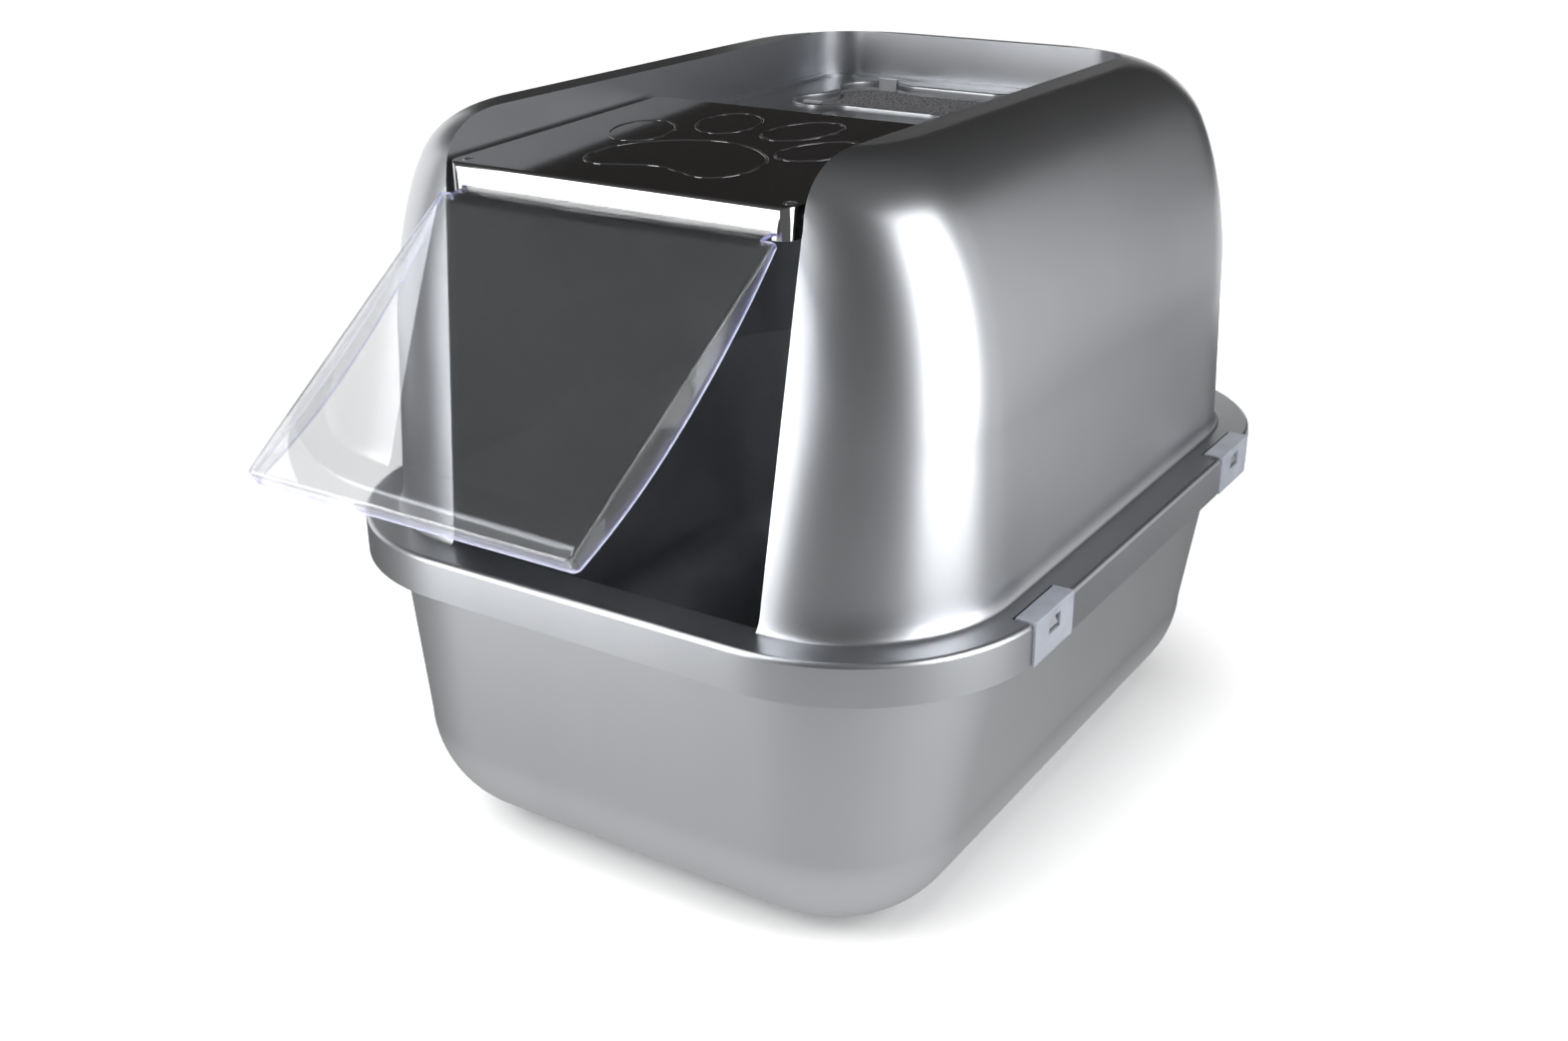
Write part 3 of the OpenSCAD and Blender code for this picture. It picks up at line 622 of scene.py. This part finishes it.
clips, blocks = [], []
for end in ("front", "rear"):
    for side in ("left", "right"):
        node = f"clip_{end}_{side}"
        clips.append(soft_copy(node, f"{node}_part", node, "clip", 0.45 * MM))
for side in ("left", "right"):
    node = f"pivot_block_{side}"
    blocks.append(soft_copy(node, f"{node}_part", "lid", "pivot", 0.3 * MM))
screws = soft_copy("pivot_screws", "screws_part", "lid", "screw", 0.15 * MM, segments=2)
tray = soft_copy("filter_tray", "tray_part", "hood", "tray", 0.3 * MM, segments=2)

# %% [markdown]
# ## Lid
#
# The lid is a shallow upturned tray, polished brighter than the hood, with a paw drawn on it in
# fine raised lines. Its body comes from the frame. Each line of the paw starts as a round
# curve, is pulled into the shape of a toe or a pad, and is given a thin round section.

# %% Lid: its body, and the raised lines of the paw
lid = copy_of("lid", "lid_part")
soften(lid, 0.7 * MM, segments=4)
smooth(lid)

lid_rise, lid_reach, lid_drop = 6.4 * MM, 200 * MM, 22.9 * MM
lid_slope = lid_rise / lid_reach
lid_front_z = roof_z - lid_drop
line_r = 0.8 * MM
line_height = 0.55
pad_back, pad_size, pad_pinch = 69 * MM, (104 * MM, 76 * MM), 0.35
toe_size = (38 * MM, 56 * MM)
toes = [(62 * MM, 114 * MM, 0.38), (26 * MM, 153 * MM, 0.3)]  # out, back, turn


def paw_line(name, centre, size, turn, pinch=0.0):
    """A closed raised line: an oval of this size, turned, with its front side pinched in."""
    bpy.ops.curve.primitive_bezier_circle_add(radius=0.5)
    obj = bpy.context.object
    obj.name = name
    obj.data.resolution_u = 24
    bpy.ops.object.mode_set(mode="EDIT")
    bpy.ops.curve.subdivide(number_cuts=3)
    bpy.ops.object.mode_set(mode="OBJECT")
    for point in obj.data.splines[0].bezier_points:
        for part in ("handle_left", "handle_right", "co"):
            x, y, _ = getattr(point, part)
            y += pinch * math.cos(math.pi * min(1, abs(x) * 2)) * (0.5 if y < 0 else 0.12)
            at = Matrix.Rotation(turn, 2) @ Vector((x * size[0], y * size[1]))
            setattr(point, part, (at.x + centre[0], at.y + centre[1], 0))
    obj.data.bevel_depth = line_r
    obj.data.bevel_resolution = 6
    only(obj)
    bpy.ops.object.convert(target="MESH")
    for v in obj.data.vertices:
        v.co.z = (v.co.z * line_height + lid_front_z
                  + lid_slope * (v.co.y - lid_front))
    return smooth(obj)


paw = [paw_line("paw_pad", (0, lid_front + pad_back), pad_size, 0, pad_pinch)]
for side in (-1, 1):
    for out, back, turn in toes:
        paw.append(paw_line("toe", (side * out, lid_front + back), toe_size, -side * turn))
print("paw:", len(paw), "raised lines")
join(lid, *paw)
assign(lid, "lid", "lid", "lid")

# %% [markdown]
# ## Door
#
# The door is one clear sheet, formed hot: a flat panel whose two sides and bottom are turned
# in, deepest a little above the bottom, and whose top runs back to a thin hinge bar. It is
# made hanging straight down from a hinge at the origin, where it is easy to measure, and is
# swung out to its place at the end. One flat grid is enough: its corners are rounded, its
# edge is extruded into the turned-in wall, and the folds are bevelled.

# %% Door: the panel and its turned-in edge
hinge = Vector(next(j for j in frame["joints"] if j["name"] == "door_swing")["pos_m"])
door_hang, door_offset, sill_gap = 12.5 * MM, 6.7 * MM, 0.6 * MM
door_h = hinge.z - door_hang - rim_top - sill_gap
door_top, door_bottom = 110.5 * MM, 105 * MM
door_corner, fold_r, folds = 3 * MM, 1.4 * MM, 4
door_t = 1.8 * MM
bar_half, bar_r = 102.6 * MM, 2 * MM
pin_half, pin_r = 107.1 * MM, 1.5 * MM
door_set = math.radians(55.5)
wing_top, wing_widest, wing_bottom = 3 * MM, 17 * MM, 9 * MM
widest_at = 0.62
rows, columns = 24, 8


def wing_depth(share):
    """How far the edge is turned in, from the top of the door (0) to its bottom (1)."""
    if share < widest_at:
        return wing_widest - (wing_widest - wing_top) * (1 - share / widest_at) ** 2
    past = (share - widest_at) / (1 - widest_at)
    return wing_widest - (wing_widest - wing_bottom) * past ** 2


bpy.ops.mesh.primitive_grid_add(x_subdivisions=columns, y_subdivisions=rows, size=1,
                                location=(0, -door_offset, -door_hang - door_h / 2),
                                rotation=(math.radians(90), 0, 0))
door = bpy.context.object
door.name = "door_sheet"
door.scale = (2 * door_top, door_h, 1)
bpy.ops.object.transform_apply(location=True, rotation=True, scale=True)

bm = edit(door)
bottom_z = -door_hang - door_h
for v in bm.verts:
    share = (-door_hang - v.co.z) / door_h
    half = door_top + (door_bottom - door_top) * share
    column = round((v.co.x / door_top + 1) * columns / 2)
    v.co.x *= half / door_top
    if column in (1, columns - 1):
        v.co.x = math.copysign(bar_half - (door_top - half), v.co.x)
pick(bm, bm.verts, lambda v: v.co.z < bottom_z + MM and abs(v.co.x) > door_bottom - MM)
bpy.ops.mesh.bevel(offset=door_corner, segments=6, affect="VERTICES")

bm = edit(door, "EDGE")
pick(bm, bm.edges, lambda e: e.is_boundary and any(v.co.z < -door_hang - MM for v in e.verts))
for k in range(folds):
    bpy.ops.mesh.extrude_edges_move()
    bm = bmesh.from_edit_mesh(door.data)
    for v in bm.verts:
        if v.select:
            share = min(1, (-door_hang - v.co.z) / door_h)
            v.co.y = -door_offset + wing_depth(share) * (k + 1) / folds
bm = edit(door, "EDGE")
fold_lines = pick(bm, bm.edges, lambda e: len(e.link_faces) == 2
                  and all(abs(v.co.y + door_offset) < 0.01 * MM for v in e.verts)
                  and e.calc_face_angle() > math.radians(50))
bpy.ops.mesh.bevel(offset=fold_r, segments=4, affect="EDGES")
print("door:", fold_lines, "edges folded")

# %% Door: the web up to its hinge bar, and the sheet's thickness
bm = edit(door, "EDGE")
pick(bm, bm.edges, lambda e: e.is_boundary
     and all(v.co.z > -door_hang - 0.01 * MM and abs(v.co.x) < bar_half + MM for v in e.verts))
bpy.ops.mesh.extrude_edges_move(
    TRANSFORM_OT_translate={"value": (0, door_offset, door_hang)})
done(door)
repair(door)
sheet_finish, edge_finish = (bpy.data.materials.new(n) for n in ("clear_sheet", "sheet_edge"))
door.data.materials.append(sheet_finish)
door.data.materials.append(edge_finish)
modify(door, "SOLIDIFY", thickness=door_t, offset=0, use_even_offset=True,
       material_offset_rim=1)
soften(door, 0.35 * MM, angle=50, segments=2)


def rod(name, half, r):
    """A round bar from side to side through the origin."""
    bpy.ops.mesh.primitive_cylinder_add(vertices=40, radius=r, depth=2 * half,
                                        rotation=(0, math.radians(90), 0))
    obj = bpy.context.object
    obj.name = name
    bpy.ops.object.transform_apply(rotation=True)
    return soften(obj, 0.3 * MM, angle=60, segments=2)


join(door, rod("bar", bar_half, bar_r), rod("pins", pin_half, pin_r))
door.matrix_world = Matrix.Translation(hinge) @ Matrix.Rotation(-door_set, 4, "X")
only(door)
bpy.ops.object.transform_apply(location=True, rotation=True)
smooth(door)
assign(door, "door", "door", "door")

# %% [markdown]
# ## Filter pad
#
# The pad is open-cell foam loaded with carbon. Its plain shape comes from the frame. It is
# remeshed into small even faces, so that a fine cloud pattern can push each one in or out and
# give the crumbly skin of cut foam.

# %% Filter pad: cut foam
pad = copy_of("filter_pad", "pad_foam")
modify(pad, "REMESH", mode="VOXEL", voxel_size=1.2 * MM)
cells = bpy.data.textures.new("foam_cells", "CLOUDS")
cells.noise_scale = 3 * MM
cells.noise_depth = 2
modify(pad, "DISPLACE", texture=cells, strength=1.4 * MM, mid_level=0.85,
       texture_coords="LOCAL")
smooth(pad, 60)
assign(pad, "filter_pad", "pad", "filter_pad")
print("pad:", [round(1000 * side, 1) for side in pad.dimensions], "mm")

# %% [markdown]
# ## Finishes
#
# Each finish is a small recipe of noise patterns. A pattern reads Object coordinates, which
# are metres here, so a scale of 900 gives features about a millimetre across. Colour is never
# one flat value: silver paint has flakes, mouldings have faint flow marks, foam has pores.

# %% Building blocks of a finish
def finish(mat):
    """Switch a material's nodes on, and return its node tree and its main shader."""
    mat.use_nodes = True
    return mat.node_tree, mat.node_tree.nodes["Principled BSDF"]


def noise(tree, scale, detail, stretch=(1, 1, 1)):
    """Noise in the piece's own coordinates."""
    coords = tree.nodes.new("ShaderNodeTexCoord")
    mapping = tree.nodes.new("ShaderNodeMapping")
    mapping.inputs["Scale"].default_value = stretch
    texture = tree.nodes.new("ShaderNodeTexNoise")
    texture.inputs["Scale"].default_value = scale
    texture.inputs["Detail"].default_value = detail
    tree.links.new(coords.outputs["Object"], mapping.inputs["Vector"])
    tree.links.new(mapping.outputs["Vector"], texture.inputs["Vector"])
    return texture.outputs["Fac"]


def ramp(tree, value, *stops):
    """Turn a value into a colour: (place, colour) stops."""
    node = tree.nodes.new("ShaderNodeValToRGB")
    elements = node.color_ramp.elements
    while len(elements) < len(stops):
        elements.new(0.5)
    for element, (place, colour) in zip(elements, stops):
        element.position = place
        element.color = (*colour, 1)
    tree.links.new(value, node.inputs["Fac"])
    return node.outputs["Color"]


def between(tree, value, low, high):
    """Stretch the middle of a noise to run from low to high."""
    node = tree.nodes.new("ShaderNodeMapRange")
    node.inputs["From Min"].default_value = 0.3
    node.inputs["From Max"].default_value = 0.7
    node.inputs["To Min"].default_value = low
    node.inputs["To Max"].default_value = high
    tree.links.new(value, node.inputs["Value"])
    return node.outputs["Result"]


def bump(tree, shader, height, depth, strength):
    """Raise the surface by a pattern: depth in metres."""
    node = tree.nodes.new("ShaderNodeBump")
    node.inputs["Strength"].default_value = strength
    node.inputs["Distance"].default_value = depth
    tree.links.new(height, node.inputs["Height"])
    tree.links.new(node.outputs["Normal"], shader.inputs["Normal"])


def paint(obj, mat):
    """Give the whole piece one finish."""
    obj.data.materials.clear()
    obj.data.materials.append(mat)
    print(f"{obj.name} is finished in {mat.name}")


# %% [markdown]
# ## Silver plastic
#
# The hood and lid are plastic with aluminium flake in it: it mirrors its surroundings softly,
# like metal, but each flake tilts its own way. The tub has the same pigment under a duller
# skin. One function makes them all from a colour, a roughness and a polish.

# %% Silver mouldings
def silver(name, dark, light, rough, coat, flake_depth):
    """Plastic full of metal flake, between two shades, under a clear skin if coat is above 0."""
    mat = bpy.data.materials.new(name)
    tree, shader = finish(mat)
    flakes = noise(tree, 2600, 1)
    flow = noise(tree, 14, 3, (1, 0.6, 0.35))
    mix = tree.nodes.new("ShaderNodeMath")
    mix.operation = "MULTIPLY_ADD"
    mix.inputs[1].default_value = 0.35
    tree.links.new(flakes, mix.inputs[0])
    tree.links.new(between(tree, flow, 0.2, 0.5), mix.inputs[2])
    colour = ramp(tree, mix.outputs["Value"], (0.2, dark), (0.8, light))
    tree.links.new(colour, shader.inputs["Base Color"])
    tree.links.new(between(tree, noise(tree, 9, 2), rough - 0.012, rough + 0.012),
                   shader.inputs["Roughness"])
    shader.inputs["Metallic"].default_value = 1
    shader.inputs["Coat Weight"].default_value = coat
    shader.inputs["Coat Roughness"].default_value = 0.12
    bump(tree, shader, flakes, flake_depth, 0.25)
    return mat


hood_silver = silver("hood_silver", (0.425, 0.437, 0.46), (0.485, 0.497, 0.52), 0.36, 0.10,
                     0.02 * MM)
tub_silver = silver("tub_silver", (0.415, 0.425, 0.442), (0.455, 0.465, 0.482), 0.46, 0.0,
                    0.03 * MM)
lid_silver = silver("lid_silver", (0.36, 0.36, 0.37), (0.42, 0.42, 0.43), 0.10, 0.3,
                    0.01 * MM)
paint(hood, hood_silver)
paint(tub, tub_silver)
paint(lid, lid_silver)


# %% Grey mouldings, screws and foam
def moulding(name, dark, light, rough, see_through=0.0):
    """Plain coloured plastic with faint flow marks and a fine spark-eroded grain."""
    mat = bpy.data.materials.new(name)
    tree, shader = finish(mat)
    tree.links.new(ramp(tree, noise(tree, 40, 3), (0.35, dark), (0.65, light)),
                   shader.inputs["Base Color"])
    tree.links.new(between(tree, noise(tree, 300, 2), rough - 0.04, rough + 0.04),
                   shader.inputs["Roughness"])
    shader.inputs["Transmission Weight"].default_value = see_through
    bump(tree, shader, noise(tree, 1800, 2), 0.05 * MM, 0.3)
    return mat


clip_grey = moulding("clip_grey", (0.27, 0.285, 0.33), (0.35, 0.365, 0.41), 0.34,
                     see_through=0.3)
dark_grey = moulding("dark_grey", (0.06, 0.06, 0.065), (0.09, 0.09, 0.095), 0.4)
tray_grey = moulding("tray_grey", (0.22, 0.225, 0.24), (0.30, 0.305, 0.32), 0.4)
for clip in clips:
    paint(clip, clip_grey)
for block in blocks:
    paint(block, dark_grey)
paint(tray, tray_grey)

steel = bpy.data.materials.new("plated_steel")
tree, shader = finish(steel)
tree.links.new(ramp(tree, noise(tree, 400, 3), (0.3, (0.55, 0.55, 0.56)),
                    (0.7, (0.68, 0.68, 0.69))), shader.inputs["Base Color"])
shader.inputs["Metallic"].default_value = 1
shader.inputs["Roughness"].default_value = 0.24
bump(tree, shader, noise(tree, 900, 2, (1, 6, 1)), 0.01 * MM, 0.4)
paint(screws, steel)

foam = bpy.data.materials.new("carbon_foam")
tree, shader = finish(foam)
pores = noise(tree, 700, 4)
tree.links.new(ramp(tree, pores, (0.38, (0.012, 0.012, 0.013)), (0.62, (0.11, 0.11, 0.115))),
               shader.inputs["Base Color"])
shader.inputs["Roughness"].default_value = 0.9
bump(tree, shader, pores, 0.8 * MM, 0.8)
paint(pad, foam)

# %% [markdown]
# ## Clear sheet
#
# Clear plastic is seen by what it mirrors and by its edges, where light that has run along
# inside the sheet comes out faintly blue. The faces and the cut edge therefore get a finish
# each. The faces have a very slight waviness, as formed sheet does.

# %% Clear sheet and its edges
tree, shader = finish(sheet_finish)
tree.links.new(ramp(tree, noise(tree, 30, 2), (0.3, (0.80, 0.81, 0.83)),
                    (0.7, (0.84, 0.85, 0.87))), shader.inputs["Base Color"])
shader.inputs["Roughness"].default_value = 0.03
shader.inputs["IOR"].default_value = 1.49
shader.inputs["Transmission Weight"].default_value = 1.0
shader.inputs["Alpha"].default_value = 0.55
bump(tree, shader, noise(tree, 12, 1), 0.2 * MM, 0.1)

tree, shader = finish(edge_finish)
tree.links.new(ramp(tree, noise(tree, 80, 2), (0.3, (0.22, 0.23, 0.52)),
                    (0.7, (0.36, 0.38, 0.68))), shader.inputs["Base Color"])
shader.inputs["Roughness"].default_value = 0.12
shader.inputs["Transmission Weight"].default_value = 0.35
print("the door has", len(door.data.materials), "finishes: faces and cut edges")

# %% [markdown]
# ## Floor
#
# The set stands on a pale matt floor that runs out of sight. It could be a curved sweep of
# paper, but a plain plane shows no bend in any view. Metal would mirror it as a bright band
# along its lower edges, so the floor is hidden from mirror reflections.

# %% Floor
bpy.ops.mesh.primitive_plane_add(size=60, location=(0, 0, 0))
floor = bpy.context.object
floor.name = "floor"
floor_paint = bpy.data.materials.new("floor_paint")
tree, shader = finish(floor_paint)
tree.links.new(ramp(tree, noise(tree, 3, 2), (0.3, (0.88, 0.88, 0.88)),
                    (0.7, (0.90, 0.90, 0.90))), shader.inputs["Base Color"])
shader.inputs["Roughness"].default_value = 0.9
paint(floor, floor_paint)
floor.visible_glossy = False


# %% [markdown]
# ## Lights
#
# Metal shows its surroundings, so the lamps are shapes as much as lights. A tall screen stands
# left of the doorway, and another on the right draws the bright band down the front corner.
# Cards on the left and at the back lift the far sides. Nothing hangs overhead where the roof
# and the lid would mirror it: a wide soft sun lights the floor, and is hidden from reflections.

# %% Lights
def lamp(name, centre, size, power, target):
    """A rectangular lamp at centre, facing target: size is its width and height."""
    data = bpy.data.lights.new(name, "AREA")
    data.shape = "RECTANGLE"
    data.size, data.size_y = size
    data.energy = power
    obj = bpy.data.objects.new(name, data)
    obj.location = centre
    obj.rotation_euler = (Vector(target) - Vector(centre)).to_track_quat("-Z", "Y").to_euler()
    obj.visible_camera = False
    bpy.context.scene.collection.objects.link(obj)
    print(f"{name}: {size[0]} x {size[1]} m, {power} W")


def around(azimuth, distance, height):
    """A place round the box: azimuth 0 is straight in front, 90 on its right."""
    a = math.radians(azimuth)
    return (distance * math.sin(a), -distance * math.cos(a), height)


box_front = (0, -0.25, 0.35)
right_corner = (0.19, -0.2, 0.35)
lamp("front_screen", (-0.50, -1.0, 0.45), (0.5, 1.1), 11.0, box_front)
lamp("side_screen", (0.94, -0.16, 0.47), (0.7, 0.95), 10.4, right_corner)
lamp("left_card", around(-95, 1.3, 0.4), (1.3, 0.8), 4.5, (0, 0, 0.4))
lamp("rear_card", (1.0, 0.95, 0.35), (0.6, 1.2), 1.9, (0.2, 0, 0.35))
lamp("back_screen", around(-162, 1.5, 0.3), (1.0, 0.55), 4.0, (0, 0.25, 0.3))
lamp("back_fill", around(172, 1.5, 0.1), (0.8, 0.3), 0.9, (0, 0.25, 0.2))

sky = bpy.data.lights.new("sky", "SUN")
sky.energy = 3.8
sky.angle = math.radians(75)
sky_lamp = bpy.data.objects.new("sky", sky)
sky_lamp.rotation_euler = (math.radians(14), math.radians(-12), 0)
sky_lamp.visible_glossy = False
bpy.context.scene.collection.objects.link(sky_lamp)

# %% [markdown]
# ## The rest of the room
#
# What no lamp covers, the metal mirrors from the room: bright low down, dim at eye height and
# towards the far wall, a little lighter overhead. Two ramps on the direction of view, one by
# height and one by depth, make that room without building it. Looked at directly, or through
# the clear door, the room is as pale as the floor, so that no view shows a dark band above it.

# %% The rest of the room
world = bpy.data.worlds.new("room")
bpy.context.scene.world = world
world.use_nodes = True
tree = world.node_tree
direction = tree.nodes.new("ShaderNodeTexCoord").outputs["Generated"]


def along(axis):
    """How far a direction points along an axis, from 0 (against) to 1 (with it)."""
    dot = tree.nodes.new("ShaderNodeVectorMath")
    dot.operation = "DOT_PRODUCT"
    dot.inputs[1].default_value = axis
    tree.links.new(direction, dot.inputs[0])
    spread = tree.nodes.new("ShaderNodeMapRange")
    spread.inputs["From Min"].default_value = -1
    tree.links.new(dot.outputs["Value"], spread.inputs["Value"])
    return spread.outputs["Result"]


def grey(value, warmth=0.0):
    """A grey, or one a little warmer than grey."""
    return (value * (1 + warmth), value, value * (1 - warmth))


height = ramp(tree, along((0, 0, 1)), (0.0, grey(1.1)), (0.2, grey(1.1)),
              (0.235, grey(0.8)), (0.265, grey(0.32)), (0.36, grey(0.22)),
              (0.5, grey(0.14, 0.02)), (0.62, grey(0.08, 0.05)), (1.0, grey(0.17)))
depth = ramp(tree, along((-0.5, 0.87, 0)), (0.0, grey(1.0)), (0.5, grey(1.0)),
             (0.78, grey(0.6)), (0.85, grey(0.4)), (1.0, grey(0.35)))
shade = tree.nodes.new("ShaderNodeMix")
shade.data_type = "RGBA"
shade.blend_type = "MULTIPLY"
shade.inputs["Factor"].default_value = 1
tree.links.new(height, shade.inputs["A"])
tree.links.new(depth, shade.inputs["B"])

ray = tree.nodes.new("ShaderNodeLightPath")
seen = tree.nodes.new("ShaderNodeMath")
seen.operation = "MAXIMUM"
tree.links.new(ray.outputs["Is Camera Ray"], seen.inputs[0])
tree.links.new(ray.outputs["Is Transmission Ray"], seen.inputs[1])
pale = tree.nodes.new("ShaderNodeMix")
pale.data_type = "RGBA"
pale.inputs["B"].default_value = (1.1, 1.1, 1.1, 1)
tree.links.new(seen.outputs["Value"], pale.inputs["Factor"])
tree.links.new(shade.outputs["Result"], pale.inputs["A"])
tree.links.new(pale.outputs["Result"], tree.nodes["Background"].inputs["Color"])
print("room:", len(tree.nodes), "nodes")

# %% [markdown]
# ## Camera
#
# The camera looks down from the front right, from a little above the roof, with a lens close
# to what the eye sees. The colours are shown as they are, with no film curve, so
# that white plastic and bright bands of light stay white.

# %% Camera
camera_place = Vector((0.5722, -0.9501, 0.6380))
camera_turn, camera_tilt, camera_roll = (math.radians(a) for a in (32.75, 23.24, -0.39))
camera_data = bpy.data.cameras.new("camera")
camera_data.lens, camera_data.sensor_width = 40.03, 36
camera = bpy.data.objects.new("camera", camera_data)
bpy.context.scene.collection.objects.link(camera)
camera.matrix_world = (Matrix.Translation(camera_place)
                       @ Matrix.Rotation(camera_turn, 4, "Z")
                       @ Matrix.Rotation(math.radians(90) - camera_tilt, 4, "X")
                       @ Matrix.Rotation(camera_roll, 4, "Z"))
bpy.context.scene.camera = camera
bpy.context.scene.view_settings.view_transform = "Standard"
print("camera:", [round(c, 2) for c in camera_place], "m,", camera_data.lens, "mm lens")
